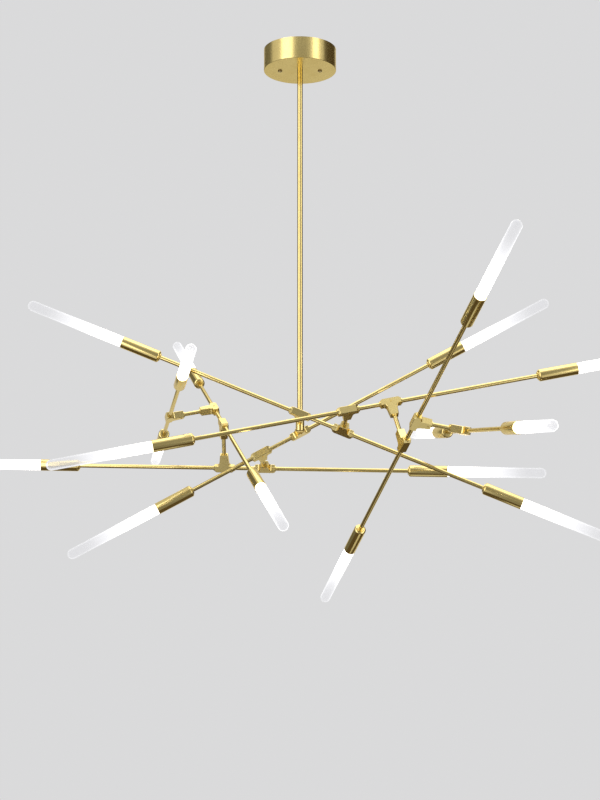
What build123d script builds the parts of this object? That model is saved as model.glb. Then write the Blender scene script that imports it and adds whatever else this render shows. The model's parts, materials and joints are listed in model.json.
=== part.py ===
from build123d import *

import os
from collections import namedtuple

# Sputnik chandelier: a ceiling canopy, a stem and eight straight arms with a glass tube lamp at each end.
# Every arm's rod runs through one or two tees, and each tee's stem turns on a short link, so the arms
# hang from the hub in two chains. Millimetres, +Z up. The origin is on the ceiling, on the stem's axis.

# ---- ceiling hardware ----
CANOPY_DIA = 127.0
CANOPY_HEIGHT = 39.0
CANOPY_WALL = 1.5
CANOPY_FLOOR = 2.0
CANOPY_RIM_CHAMFER = 0.5
COVER_SCREW_SPACING = 70.0  # the two screws that show under the canopy
COVER_SCREW_DIA = 4.0
COVER_SCREW_HEAD_DIA = 7.4
COVER_SCREW_HEAD_HEIGHT = 2.2
COVER_SCREW_PROUD = 1.5  # how far the shank stands out above the crossbar
SCREW_HOLE_CLEARANCE = 0.25
RECESS_LENGTH = 4.0
RECESS_WIDTH = 0.9
RECESS_DEPTH = 1.2
CEILING_HOLE_SPACING = 89.0
CEILING_HOLE_DIA = 4.5
CROSSBAR_WIDTH = 18.0
CROSSBAR_THICK = 2.0
CROSSBAR_DROP = 8.0  # from the ceiling to the top of the strap's middle
CROSSBAR_END_MARGIN = 7.5  # from a ceiling hole's centre to the strap's end
CROSSBAR_RISER_MARGIN = 3.0  # from a cover screw's centre to its riser
NIPPLE_BORE = 4.6
NIPPLE_ABOVE_BAR = 5.5
NIPPLE_IN_PIPE = 20.0
LOCKNUT_ACROSS_FLATS = 13.0
LOCKNUT_THICK = 4.5

# ---- stem and hub ----
HUB_DROP = 675.0  # from the ceiling to the axis of the hub's link
PIPE_DIA = 9.5
PIPE_BORE = 7.5
PIPE_IN_HUB = 8.0
PIPE_HOLE_CLEARANCE = 0.15
HUB_DIA = 14.5
HUB_ABOVE_AXIS = 18.0
HUB_BELOW_AXIS = 13.5
HUB_CHAMFER = 1.2
HUB_TO_ARM = 76.0  # from the stem's axis to the rod axis of each of the first two arms

# ---- arms ----
LONG_ROD = 583.0  # between the closed ends of an arm's two cups
MIDDLE_ROD = 466.0
SHORT_ROD = 350.0
ROD_DIA = 7.0
ROD_BORE = 5.0
ROD_IN_CUP = 6.0
WIRE_HOLE_DIA = 4.0

# ---- links and tees ----
ARM_TO_ARM = 82.0  # between the rod axes of two arms that share a link
LINK_DIA = 7.0
LINK_BORE = 5.0
LINK_SEAT = 15.0  # from a tee's rod axis to the seat at the bottom of its stem's bore
TEE_THICK = 12.3
TEE_BAR_LENGTH = 34.5
TEE_BACK_LENGTH = 27.5  # the flat back, between its two slanted corners
TEE_BACK = 6.5  # from the rod axis to the flat back
TEE_BACK_CORNER = 3.0
TEE_FRONT = 5.0  # from the rod axis to the bar's inner side
STEM_ROOT_WIDTH = 17.5
STEM_TIP_WIDTH = 13.0
STEM_LENGTH = 25.5  # from the rod axis to the stem's flat end
STEM_ROOT_FILLET = 4.5
TEE_CHAMFER = 0.6
COLLAR_LENGTH = 1.5
BAR_COLLAR_DIA = 10.4
STEM_COLLAR_DIA = 10.4
GRUB_HOLE_DIA = 3.0
LINK_GRUB_STATION = 20.5  # from the rod axis to the grub screw that holds a link

# ---- lamps ----
CUP_DIA = 20.0
CUP_LENGTH = 68.0
CUP_END_WALL = 6.5
CUP_SHOULDER = 3.2
CUP_NECK_DIA = 13.0
CUP_NECK_LENGTH = 1.5
HOLDER_DIA = 14.6
HOLDER_LENGTH = 20.0
HOLDER_CLEARANCE = 0.2
GLASS_DIA = 17.8
GLASS_WALL = 1.2
GLASS_CLEARANCE = 0.2
GLASS_SHOWING = 172.0  # from a cup's mouth to the glass tube's tip
BULB_DIA = 11.5
BULB_BEYOND_MOUTH = 66.0
BULB_IN_HOLDER = 8.0

# ---- fits, on the radius ----
FIXED_FIT = 0.03
SWIVEL_FIT = 0.08

# ---- along each rod, from the tee of the rod's own link ----
A_TO_MIDDLE = 37.0
B_TO_MIDDLE = 34.0
C_TO_MIDDLE = 22.0
D_TO_MIDDLE = -39.0
E_TO_MIDDLE = -34.0
F_TO_MIDDLE = 10.0
G_TO_MIDDLE = -47.0
H_TO_MIDDLE = 65.0
A_TO_B_TEE = 77.0
B_TO_E_TEE = 72.0
E_TO_H_TEE = -65.0
C_TO_D_TEE = -76.0
D_TO_F_TEE = -72.0
F_TO_G_TEE = -82.0

# ---- where the arms are ----
# parent: the arm that carries this one, or the hub. at: where its link starts, along the parent's rod or
# from the hub's axis. roll: how the link is turned about the parent's rod, or about X at the hub.
# swivel: how this arm is turned on its link. middle: from this arm's first tee to the middle of its rod.
Arm = namedtuple("Arm", "name parent at roll swivel rod middle")
ARMS = [
    Arm("a", "hub", 0.0, 90.0, -22.5, LONG_ROD, A_TO_MIDDLE),
    Arm("b", "a", A_TO_B_TEE, -13.0, 35.5, LONG_ROD, B_TO_MIDDLE),
    Arm("e", "b", B_TO_E_TEE, 81.5, -102.0, LONG_ROD, E_TO_MIDDLE),
    Arm("h", "e", E_TO_H_TEE, -73.0, -146.0, SHORT_ROD, H_TO_MIDDLE),
    Arm("c", "hub", 0.0, -90.0, -28.5, MIDDLE_ROD, C_TO_MIDDLE),
    Arm("d", "c", C_TO_D_TEE, -8.0, 30.5, LONG_ROD, D_TO_MIDDLE),
    Arm("f", "d", D_TO_F_TEE, 129.5, -72.5, MIDDLE_ROD, F_TO_MIDDLE),
    Arm("g", "f", F_TO_G_TEE, 95.5, -146.5, SHORT_ROD, G_TO_MIDDLE),
]

# ---- sizes that follow from these ----
CROSSBAR_UNDERSIDE = -CROSSBAR_DROP - CROSSBAR_THICK
CANOPY_INNER_DIA = CANOPY_DIA - 2 * CANOPY_WALL
NIPPLE_DIA = PIPE_BORE - 2 * FIXED_FIT
HUB_TOP = -HUB_DROP + HUB_ABOVE_AXIS
PIPE_END = HUB_TOP - PIPE_IN_HUB
LINK_LENGTH = ARM_TO_ARM - 2 * LINK_SEAT
CUP_GLASS_BORE = GLASS_DIA + 2 * GLASS_CLEARANCE
GLASS_SEAT = CUP_END_WALL + HOLDER_LENGTH  # from a cup's closed end to where its glass tube stands


def bar_x(dia, start, end):
    """A round bar along X."""
    return Pos((start + end) / 2, 0, 0) * Rot(0, 90, 0) * Cylinder(dia / 2, end - start)


def bar_y(dia, start, end):
    """A round bar along Y."""
    return Pos(0, (start + end) / 2, 0) * Rot(90, 0, 0) * Cylinder(dia / 2, end - start)


def bar_z(dia, start, end):
    """A round bar along Z."""
    return Pos(0, 0, (start + end) / 2) * Cylinder(dia / 2, end - start)


def both_sides(spacing, shape):
    """Two copies of a shape, half the spacing to each side of the middle along X."""
    return [Pos(side * spacing / 2, 0, 0) * shape for side in (-1, 1)]


# ---- ceiling hardware ----


def ceiling_crossbar():
    """A top-hat strap: its ends lie flat on the ceiling and its middle carries the stem."""
    riser = COVER_SCREW_SPACING / 2 + CROSSBAR_RISER_MARGIN
    end = CEILING_HOLE_SPACING / 2 + CROSSBAR_END_MARGIN
    step = CROSSBAR_THICK
    right = [(end, 0), (end, -step), (riser + step, -step), (riser + step, CROSSBAR_UNDERSIDE)]
    inner = [(riser, 0), (riser, -CROSSBAR_DROP)]
    left = [(-x, z) for x, z in reversed(right)]
    inner_left = [(-x, z) for x, z in inner]
    outline = make_face(Polyline(*right, *left, *inner_left, *reversed(inner), close=True))
    strap = extrude(Plane.XZ * outline, CROSSBAR_WIDTH / 2, both=True)
    for hole in both_sides(CEILING_HOLE_SPACING, bar_z(CEILING_HOLE_DIA, -2 * step, step)):
        strap -= hole
    tapped_dia = COVER_SCREW_DIA + 2 * FIXED_FIT
    for hole in both_sides(COVER_SCREW_SPACING, bar_z(tapped_dia, CROSSBAR_UNDERSIDE - step, 0)):
        strap -= hole
    return strap - bar_z(NIPPLE_DIA + 2 * SCREW_HOLE_CLEARANCE, CROSSBAR_UNDERSIDE - step, 0)


def canopy():
    """A round cup, open towards the ceiling, with holes for the stem and the two cover screws."""
    shell = bar_z(CANOPY_DIA, -CANOPY_HEIGHT, 0)
    shell = chamfer(shell.edges().sort_by(Axis.Z)[0], CANOPY_RIM_CHAMFER)
    floor_top = CANOPY_FLOOR - CANOPY_HEIGHT
    shell -= bar_z(CANOPY_INNER_DIA, floor_top, CANOPY_FLOOR)
    below = -CANOPY_HEIGHT - CANOPY_FLOOR
    shell -= bar_z(PIPE_DIA + 2 * PIPE_HOLE_CLEARANCE, below, floor_top + CANOPY_FLOOR)
    screw_hole_dia = COVER_SCREW_DIA + 2 * SCREW_HOLE_CLEARANCE
    for hole in both_sides(COVER_SCREW_SPACING, bar_z(screw_hole_dia, below, floor_top + CANOPY_FLOOR)):
        shell -= hole
    return shell


def cover_screws():
    """Two long pan-head screws that draw the canopy up to the crossbar."""
    head_end = -CANOPY_HEIGHT - COVER_SCREW_HEAD_HEIGHT
    head = bar_z(COVER_SCREW_HEAD_DIA, head_end, -CANOPY_HEIGHT)
    head = fillet(head.edges().sort_by(Axis.Z)[0], COVER_SCREW_HEAD_HEIGHT / 2)
    screw = head + bar_z(COVER_SCREW_DIA, -CANOPY_HEIGHT, COVER_SCREW_PROUD - CROSSBAR_DROP)
    slot = Pos(0, 0, head_end) * Box(RECESS_LENGTH, RECESS_WIDTH, 2 * RECESS_DEPTH)
    screw -= slot
    screw -= Rot(0, 0, 90) * slot
    return Compound(both_sides(COVER_SCREW_SPACING, screw))


def hanging_nipple():
    """The hollow threaded tube that joins the stem to the crossbar."""
    bottom = CROSSBAR_UNDERSIDE - NIPPLE_IN_PIPE
    top = NIPPLE_ABOVE_BAR - CROSSBAR_DROP
    return bar_z(NIPPLE_DIA, bottom, top) - bar_z(NIPPLE_BORE, bottom, top)


def nipple_locknut():
    """The hexagon nut that holds the nipple on top of the crossbar."""
    hexagon = RegularPolygon(LOCKNUT_ACROSS_FLATS / 2, 6, major_radius=False)
    nut = Pos(0, 0, -CROSSBAR_DROP) * extrude(hexagon, LOCKNUT_THICK)
    return nut - bar_z(NIPPLE_DIA + 2 * FIXED_FIT, -CROSSBAR_DROP, LOCKNUT_THICK - CROSSBAR_DROP)


# ---- stem and hub ----


def stem_pipe():
    """The straight pipe from the crossbar, through the canopy, into the hub."""
    return bar_z(PIPE_DIA, PIPE_END, CROSSBAR_UNDERSIDE) - bar_z(PIPE_BORE, PIPE_END, CROSSBAR_UNDERSIDE)


def hub():
    """A round block on the stem's end, drilled across for its link."""
    bottom = -HUB_DROP - HUB_BELOW_AXIS
    block = bar_z(HUB_DIA, bottom, HUB_TOP)
    block = chamfer(block.edges().filter_by(GeomType.CIRCLE), HUB_CHAMFER)
    block -= bar_z(PIPE_DIA + 2 * FIXED_FIT, PIPE_END, HUB_TOP)
    block -= bar_z(WIRE_HOLE_DIA, -HUB_DROP, PIPE_END)
    return block - Pos(0, 0, -HUB_DROP) * bar_y(LINK_DIA + 2 * FIXED_FIT, -HUB_DIA, HUB_DIA)


def link_hub():
    """The tube through the hub that the first two arms turn on."""
    half = HUB_TO_ARM - LINK_SEAT
    tube = bar_y(LINK_DIA, -half, half) - bar_y(LINK_BORE, -half, half)
    return Pos(0, 0, -HUB_DROP) * (tube - bar_z(WIRE_HOLE_DIA, 0, LINK_DIA))


def link():
    """The tube between two arms' tees, along Z from the carrying arm's rod axis."""
    start = LINK_SEAT
    end = LINK_SEAT + LINK_LENGTH
    return bar_z(LINK_DIA, start, end) - bar_z(LINK_BORE, start, end)


# ---- arms ----


def tee_outline():
    """The tee's flat outline: the bar along X, and the stem along Y."""
    right = [
        (TEE_BACK_LENGTH / 2, -TEE_BACK),
        (TEE_BAR_LENGTH / 2, TEE_BACK_CORNER - TEE_BACK),
        (TEE_BAR_LENGTH / 2, TEE_FRONT),
        (STEM_ROOT_WIDTH / 2, TEE_FRONT),
        (STEM_TIP_WIDTH / 2, STEM_LENGTH),
    ]
    radii = [0, 0, 0, STEM_ROOT_FILLET, 0]
    left = [(-x, y) for x, y in reversed(right)]
    return make_face(FilletPolyline(*right, *left, radius=radii + radii[::-1], close=True))


def tee(link_fit):
    """A flat tee: the rod runs through its bar along X, and the link enters its stem from +Z."""
    body = extrude(Plane.XZ * tee_outline(), TEE_THICK / 2, both=True)
    flats = body.faces().sort_by(Axis.Y)
    body = chamfer(flats[0].edges() + flats[-1].edges(), TEE_CHAMFER)
    collar_end = TEE_BAR_LENGTH / 2 + COLLAR_LENGTH
    stem_end = STEM_LENGTH + COLLAR_LENGTH
    body += bar_x(BAR_COLLAR_DIA, -collar_end, collar_end)
    body += bar_z(STEM_COLLAR_DIA, STEM_LENGTH - COLLAR_LENGTH, stem_end)
    body -= bar_x(ROD_DIA + 2 * FIXED_FIT, -collar_end, collar_end)
    body -= bar_z(LINK_DIA + 2 * link_fit, LINK_SEAT, stem_end)
    body -= bar_z(WIRE_HOLE_DIA, 0, LINK_SEAT)
    body -= bar_y(GRUB_HOLE_DIA, 0, TEE_THICK)
    return body - Pos(0, 0, LINK_GRUB_STATION) * bar_y(GRUB_HOLE_DIA, -TEE_THICK, 0)


def rod(arm, tee_places):
    """The arm's tube, with a wire hole where each of its tees has its stem."""
    start = arm.middle - arm.rod / 2 - ROD_IN_CUP
    end = arm.middle + arm.rod / 2 + ROD_IN_CUP
    tube = bar_x(ROD_DIA, start, end) - bar_x(ROD_BORE, start, end)
    for place in tee_places:
        tube -= place * bar_z(WIRE_HOLE_DIA, 0, ROD_DIA)
    return tube


def cup():
    """A lamp's brass cup along X, from its closed end to its mouth, with a neck round the rod."""
    shell = bar_x(CUP_DIA, 0, CUP_LENGTH)
    shell = fillet(shell.edges().sort_by(Axis.X)[0], CUP_SHOULDER)
    shell += bar_x(CUP_NECK_DIA, -CUP_NECK_LENGTH, CUP_SHOULDER)
    shell -= bar_x(ROD_DIA + 2 * FIXED_FIT, -CUP_NECK_LENGTH, ROD_IN_CUP)
    shell -= bar_x(ROD_BORE, 0, CUP_END_WALL)
    shell -= bar_x(HOLDER_DIA + 2 * HOLDER_CLEARANCE, CUP_END_WALL, GLASS_SEAT)
    return shell - bar_x(CUP_GLASS_BORE, GLASS_SEAT, CUP_LENGTH)


def glass_tube():
    """A lamp's glass tube, open in its cup and closed by a round tip."""
    tip = CUP_LENGTH + GLASS_SHOWING
    radius = GLASS_DIA / 2
    outside = bar_x(GLASS_DIA, GLASS_SEAT, tip - radius) + Pos(tip - radius, 0, 0) * Sphere(radius)
    bore_radius = radius - GLASS_WALL
    bore = bar_x(2 * bore_radius, GLASS_SEAT, tip - radius) + Pos(tip - radius, 0, 0) * Sphere(bore_radius)
    return outside - bore


def lamp_holder():
    """The lamp holder on the floor of its cup, with a socket for the bulb."""
    holder = bar_x(HOLDER_DIA, CUP_END_WALL, GLASS_SEAT)
    return holder - bar_x(BULB_DIA + 2 * FIXED_FIT, GLASS_SEAT - BULB_IN_HOLDER, GLASS_SEAT)


def bulb():
    """The long capsule bulb in its holder."""
    radius = BULB_DIA / 2
    end = CUP_LENGTH + BULB_BEYOND_MOUTH
    body = bar_x(BULB_DIA, GLASS_SEAT - BULB_IN_HOLDER, end - radius)
    return body + Pos(end - radius, 0, 0) * Sphere(radius)


# ---- the assembly ----


def link_start(arm, frames):
    """Where the arm's link begins: on its carrier's rod axis or the hub's, with +Z along the link."""
    carrier = Pos(0, 0, -HUB_DROP) if arm.parent == "hub" else frames[arm.parent]
    return carrier * Pos(arm.at, 0, 0) * Rot(arm.roll, 0, 0)


def link_span(arm):
    """From the carrier's axis to the arm's own rod axis."""
    return HUB_TO_ARM if arm.parent == "hub" else ARM_TO_ARM


def arm_frames():
    """Each arm's place: its first tee at the origin, its rod along X, its link arriving along +Z."""
    frames = {}
    for arm in ARMS:
        at_link_end = Pos(0, 0, link_span(arm)) * Rot(0, 0, arm.swivel)
        frames[arm.name] = link_start(arm, frames) * at_link_end
    return frames


def lamp_places(arm):
    """The closed ends of the arm's two cups, with +X out towards each lamp's tip."""
    half = arm.rod / 2
    return [Pos(arm.middle + half, 0, 0), Pos(arm.middle - half, 0, 0) * Rot(0, 0, 180)]


def tee_places(arm):
    """The arm's tees by the name of what their stems point at, with +Z along each stem."""
    places = {arm.parent: Rot(180, 0, 0)}
    for other in ARMS:
        if other.parent == arm.name:
            places[other.name] = Pos(other.at, 0, 0) * Rot(other.roll, 0, 0)
    return places


def arm_nodes(arm, frame):
    """All the pieces of one arm, in place."""
    tees = tee_places(arm)
    lamps = lamp_places(arm)
    nodes = {
        f"rod_{arm.name}": frame * rod(arm, tees.values()),
        f"cups_{arm.name}": Compound([frame * lamp * cup() for lamp in lamps]),
        f"glass_tubes_{arm.name}": Compound([frame * lamp * glass_tube() for lamp in lamps]),
        f"bulbs_{arm.name}": Compound(
            [frame * lamp * piece for lamp in lamps for piece in (lamp_holder(), bulb())]
        ),
    }
    for other, place in tees.items():
        link_fit = SWIVEL_FIT if other == arm.parent else FIXED_FIT
        nodes[f"tee_{arm.name}_{other}"] = frame * place * tee(link_fit)
    return nodes


def fixed_nodes():
    """All the pieces that hang from the ceiling and don't move."""
    return {
        "ceiling_crossbar": ceiling_crossbar(),
        "canopy": canopy(),
        "cover_screws": cover_screws(),
        "hanging_nipple": hanging_nipple(),
        "nipple_locknut": nipple_locknut(),
        "stem_pipe": stem_pipe(),
        "hub": hub(),
        "link_hub": link_hub(),
    }


def assembly():
    """Every node's name and its solids."""
    nodes = fixed_nodes()
    frames = arm_frames()
    for arm in ARMS:
        nodes.update(arm_nodes(arm, frames[arm.name]))
        if arm.parent != "hub":
            nodes[f"link_{arm.parent}_{arm.name}"] = link_start(arm, frames) * link()
    return nodes


def main():
    """Write each node to its own STEP file."""
    os.makedirs("parts", exist_ok=True)
    for name, shape in assembly().items():
        export_step(shape, f"parts/{name}.step")


if __name__ == "__main__":
    main()
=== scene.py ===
import json
import math

import bpy
import numpy as np
from bpy.props import FloatProperty, FloatVectorProperty, IntProperty, PointerProperty
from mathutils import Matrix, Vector

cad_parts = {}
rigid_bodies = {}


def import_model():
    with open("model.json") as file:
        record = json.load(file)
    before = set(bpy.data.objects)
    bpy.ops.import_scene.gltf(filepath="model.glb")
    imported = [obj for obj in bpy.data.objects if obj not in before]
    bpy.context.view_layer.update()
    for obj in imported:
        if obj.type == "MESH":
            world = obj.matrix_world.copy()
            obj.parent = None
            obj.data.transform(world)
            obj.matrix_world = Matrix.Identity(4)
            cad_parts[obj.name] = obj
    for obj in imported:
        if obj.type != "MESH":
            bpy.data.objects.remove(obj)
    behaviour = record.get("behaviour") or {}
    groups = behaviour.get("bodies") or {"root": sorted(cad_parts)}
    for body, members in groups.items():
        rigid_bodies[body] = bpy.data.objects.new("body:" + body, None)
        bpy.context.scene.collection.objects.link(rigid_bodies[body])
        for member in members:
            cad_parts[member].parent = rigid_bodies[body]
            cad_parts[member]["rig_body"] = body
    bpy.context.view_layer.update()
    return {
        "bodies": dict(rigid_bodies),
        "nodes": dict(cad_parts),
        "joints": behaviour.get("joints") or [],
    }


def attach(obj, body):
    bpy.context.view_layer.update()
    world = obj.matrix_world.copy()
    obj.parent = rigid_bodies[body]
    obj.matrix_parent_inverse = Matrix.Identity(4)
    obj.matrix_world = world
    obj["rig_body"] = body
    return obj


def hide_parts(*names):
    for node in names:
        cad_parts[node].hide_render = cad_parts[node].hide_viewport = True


bl_info = {
    "name": "Sputnik Chandelier",
    "version": (1, 0, 0),
    "blender": (4, 5, 0),
    "location": "3D View > Sidebar > Chandelier",
    "description": "Finishes a sputnik chandelier's brass, glass and lamps around its packed frame",
    "category": "Object",
}

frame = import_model()

# Metres, +Z up. The ceiling is at the origin's height, and the stem hangs from the origin.
MM = 0.001
WELD = 0.01 * MM  # points nearer than this are one point
CAP_DEPTH = 0.3 * MM  # how far from a tube's end a point may lie and still belong to its rim
ROD_IN_CUP = 6.0 * MM  # how far a rod reaches into the closed end of its cup
LAMP_BEHIND = 10 * MM  # more than a lamp's pieces reach back past the closed end of its cup
SHARP_ANGLE = math.radians(34)  # edges that bend more than this stay crisp
SIXTH_TURN = math.radians(60)
OWN = "own"  # the attribute that holds a point's place in its own piece, with Z along the piece's axis
AIM = "aim"  # the attribute that holds the direction in which a piece grows on its point

# How round pieces are turned.
SWEEP_RADIUS = MM  # the circle that an outline is swept along
ROUNDING_STEPS = 8
TUBE_FACETS = 32
SMALL_FACETS = 24  # of bulbs, holders and grub screws

# Gaps between the lamps' pieces.
CLOSE_GAP = 0.03 * MM  # round a rod in its cup, and round a bulb in its socket
HOLDER_GAP = 0.2 * MM

# How far edges are rounded.
TUBE_EDGE = 0.2 * MM
NECK_EDGE = 0.4 * MM
LIP_EDGE = 0.3 * MM
INNER_LIP_EDGE = 0.15 * MM
BULB_EDGE = 0.3 * MM
HOLDER_EDGE = 0.4 * MM
SOCKET_EDGE = 0.2 * MM

# The grub screws, and where they sit in their tees.
GRUB_DIAMETER = 2.9 * MM
GRUB_LENGTH = 2.1 * MM
GRUB_KEY = 1.5 * MM  # across the flats of the socket
GRUB_SOCKET_DEPTH = 1.2 * MM
GRUB_SUNK = 0.4 * MM  # the head lies this far under the tee's face
LINK_GRUB_STATION = 20.5 * MM  # along the stem, from the rod's axis
TEE_HALF = 6.15 * MM  # from the rod's axis to the tee's face
TEE_FACES_FROM = 5 * MM  # points further from the rod's axis than this are on the tee's faces
GRUB_HOLE_REACH = 2 * MM  # points nearer to the hole's axis than this are on its edge

# Colours that no setting changes.
WHITE = (1.0, 1.0, 1.0)
BLACK = (0.0, 0.0, 0.0)
GRAZED_BRASS = (0.97, 0.88, 0.64)  # what brass mirrors at a low angle
# painted shade: the dark brown that the screw heads get round their sides and in their slots
SCREW_SIDE_SHADE = (0.20, 0.15, 0.08)
HAZE = (0.98, 0.98, 1.0)
GLASS_TINT = (0.66, 0.66, 0.665)
BULB_WHITE = (0.9, 0.88, 0.84)
CERAMIC_SHADE = (0.82, 0.81, 0.78)
CERAMIC_WHITE = (0.9, 0.89, 0.87)
FLOOR_SHADE = (0.70, 0.70, 0.705)
FLOOR_WHITE = (0.73, 0.73, 0.735)
UMBER = (1.0, 0.76, 0.46)  # the tint of the darkest cards

# How many waves of each pattern fit in a metre.
CLOUD_WAVES = 38.0
MOTTLE_WAVES = 900.0
SPANGLE_WAVES = 420.0
FROST_WAVES = 900.0
RIPPLE_WAVES = 300.0
SPECKLE_WAVES = 700.0
FLOOR_WAVES = 3.0
FELT_WAVES = 2.0

# The parts of a pattern's range that count, from its lowest value to its highest.
NOISE_RANGE = (0.25, 0.75)
CLOUD_RANGE = (0.3, 0.75)
FELT_RANGE = (0.3, 0.7)
SCREW_SIDE_SHADE_RANGE = (0.75, 0.97)  # of how level a face is: below it lies painted shade, and above it bare brass

# How rough surfaces are, from their smoothest to their roughest.
SCREW_ROUGHNESS = (0.25, 0.4)
STEEL_ROUGHNESS = (0.28, 0.42)
GLASS_ROUGHNESS = (0.12, 0.2)
CERAMIC_ROUGHNESS = (0.18, 0.3)
BULB_ROUGHNESS = 0.3
FLOOR_ROUGHNESS = 0.8

# The metals.
ROUND_STEM_RADIUS = 0.03  # an angle round the stem counts as a length on this radius
SHADE_SHARE = 0.55  # how much of the darker brass the slow change of tone brings in
GRAIN_STRENGTH = 0.35
STEEL_SPANGLE = 0.82  # the darker spangles' share of the steel's colour

# How the lit glass glows.
GLOW_START = 0.16  # the share of the glow's reach where it starts to fade
GLOW_FALL = 1.5  # how steeply the glow fades
HAZE_START = 0.5  # the share of the haze's reach where it starts to fade
TIP_GLOW = 0.152  # the strength that is left at the tip
RIM_GLOW = 0.9  # painted highlight: how much stronger the glass glows where it is seen edge on
RIM_FALL = 3.0  # how narrow that edge is
GLASS_BEND = 1.045  # a low index of refraction, which keeps the tubes from mirroring the dark cards
BULB_MOUTH_STRENGTH = 1.2
BULB_TIP_STRENGTH = 0.7
BULB_RIPPLE = (0.92, 1.08)  # the shares of its strength that a bulb varies between

# The stage.
FLOOR_REACH = 30.0  # how far the floor goes to each side of the origin
FLOOR_LIFT = 0.42  # the share of the background's colour that the floor shows beside its own light
SOFTBOXES = (  # name, place, target, width, height, radiance
    ("left softbox", (-2.02, -2.22, -0.3), (0.0, 0.0, -0.3), 2.0, 3.9, 1.75),
    ("right softbox", (2.50, -2.0, -0.3), (0.0, 0.0, -0.3), 1.15, 3.9, 1.75),
    ("top softbox", (0.4, 0.3, 2.0), (0.4, 0.29, -0.6), 3.1, 3.9, 1.5),
)
CARDS = (  # name, lowest corner, highest corner, radiance, colour
    ("left card", (-2.6, 0.5, -2.4), (-2.6, 5.4, 2.6), 0.17, WHITE),
    ("right card", (2.6, -0.4, -2.4), (2.6, 4.3, 2.6), 0.07, UMBER),
    ("low card", (-2.6, -0.9, -2.38), (2.6, 3.6, -2.38), 0.11, UMBER),
    ("pale strip", (-0.25, 0.1, -2.37), (0.35, 1.3, -2.37), 0.65, WHITE),
    ("front low card", (-0.5, -4.3, -2.38), (1.3, -0.9, -2.38), 0.26, WHITE),
    ("front card", (-1.3, -4.3, -2.4), (2.6, -4.3, 2.3), 0.33, WHITE),
)
FELT_SPREAD = 0.15  # how far a card's radiance varies either way, as a share of it
CAMERA_PLACE = (0.0, -3.7219, -1.495)
CAMERA_TILT = math.radians(90 + 13.03)  # 13 degrees above level
SENSOR_WIDTH = 36.0
LENS = 101.1


# ---- what the frame says ----


def node_points(name):
    """A CAD node's points, each once, as rows of an array."""
    vertices = frame["nodes"][name].data.vertices
    points = np.array([vertex.co for vertex in vertices])
    return np.unique(np.round(points / WELD), axis=0) * WELD


def tube_ends(name):
    """The middles of a straight tube's two rims."""
    points = node_points(name)
    middle = points.mean(axis=0)
    along = np.linalg.svd(points - middle, full_matrices=False)[2][0]
    stations = (points - middle) @ along
    first = points[stations < stations.min() + CAP_DEPTH].mean(axis=0)
    last = points[stations > stations.max() - CAP_DEPTH].mean(axis=0)
    return Vector(first), Vector(last)


def tube_radii(name):
    """A straight tube's inner and outer radius."""
    start, end = tube_ends(name)
    along = np.array((end - start).normalized())
    points = node_points(name) - np.array(start)
    away = np.linalg.norm(points - np.outer(points @ along, along), axis=1)
    return float(away.min()), float(away.max())


def reach(name, start, aim):
    """A node's lowest and highest station and largest radius, on the axis from start along aim."""
    points = node_points(name) - np.array(start)
    stations = points @ np.array(aim)
    away = np.linalg.norm(points - np.outer(stations, np.array(aim)), axis=1)
    ahead = stations > -LAMP_BEHIND
    return float(stations[ahead].min()), float(stations[ahead].max()), float(away[ahead].max())


def crossing(start, end, point, direction):
    """The point of the line from start to end that lies nearest to another line."""
    along = (end - start).normalized()
    across = along.cross(direction)
    return start + along * (point - start).cross(direction).dot(across) / across.length_squared


# All lamps are alike, so the first arm's last one gives every lamp's stations and radii.
ARM_NAMES = sorted(body.removeprefix("arm_") for body in frame["bodies"] if body.startswith("arm_"))
FIRST_END, LAST_END = tube_ends("rod_" + ARM_NAMES[0])
FIRST_AIM = (LAST_END - FIRST_END).normalized()
FIRST_CUP = LAST_END - FIRST_AIM * ROD_IN_CUP
NECK_STATION, MOUTH_STATION, CUP_RADIUS = reach("cups_" + ARM_NAMES[0], FIRST_CUP, FIRST_AIM)
SEAT_STATION, TIP_STATION, GLASS_RADIUS = reach("glass_tubes_" + ARM_NAMES[0], FIRST_CUP, FIRST_AIM)
FLOOR_STATION, BULB_STATION, HOLDER_RADIUS = reach("bulbs_" + ARM_NAMES[0], FIRST_CUP, FIRST_AIM)
ROD_BORE_RADIUS, ROD_RADIUS = tube_radii("rod_" + ARM_NAMES[0])


def body_of_node(name):
    """The body that a CAD node rides on."""
    return frame["nodes"][name]["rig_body"]


def lamp_places(arm):
    """The closed ends of an arm's two cups, and the directions that the lamps point in."""
    start, end = tube_ends("rod_" + arm)
    along = (end - start).normalized()
    return [start + along * ROD_IN_CUP, end - along * ROD_IN_CUP], [-along, along]


def tees_of(arm):
    """Each of an arm's tees: its node, its place on the rod, and the directions of its rod and its stem."""
    start, end = tube_ends("rod_" + arm)
    along = (end - start).normalized()
    found = []
    for joint in frame["joints"]:
        child = joint["child"].removeprefix("arm_")
        parent = joint["parent"].removeprefix("arm_")
        axis = Vector(joint["axis"])
        place = crossing(start, end, Vector(joint["pos_m"]), axis)
        if child == arm:
            carrier = "hub" if parent == "ceiling_mount" else parent
            found.append((f"tee_{arm}_{carrier}", place, along, -axis))
        if parent == arm:
            found.append((f"tee_{arm}_{child}", place, along, axis))
    return found


# ---- settings ----


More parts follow.
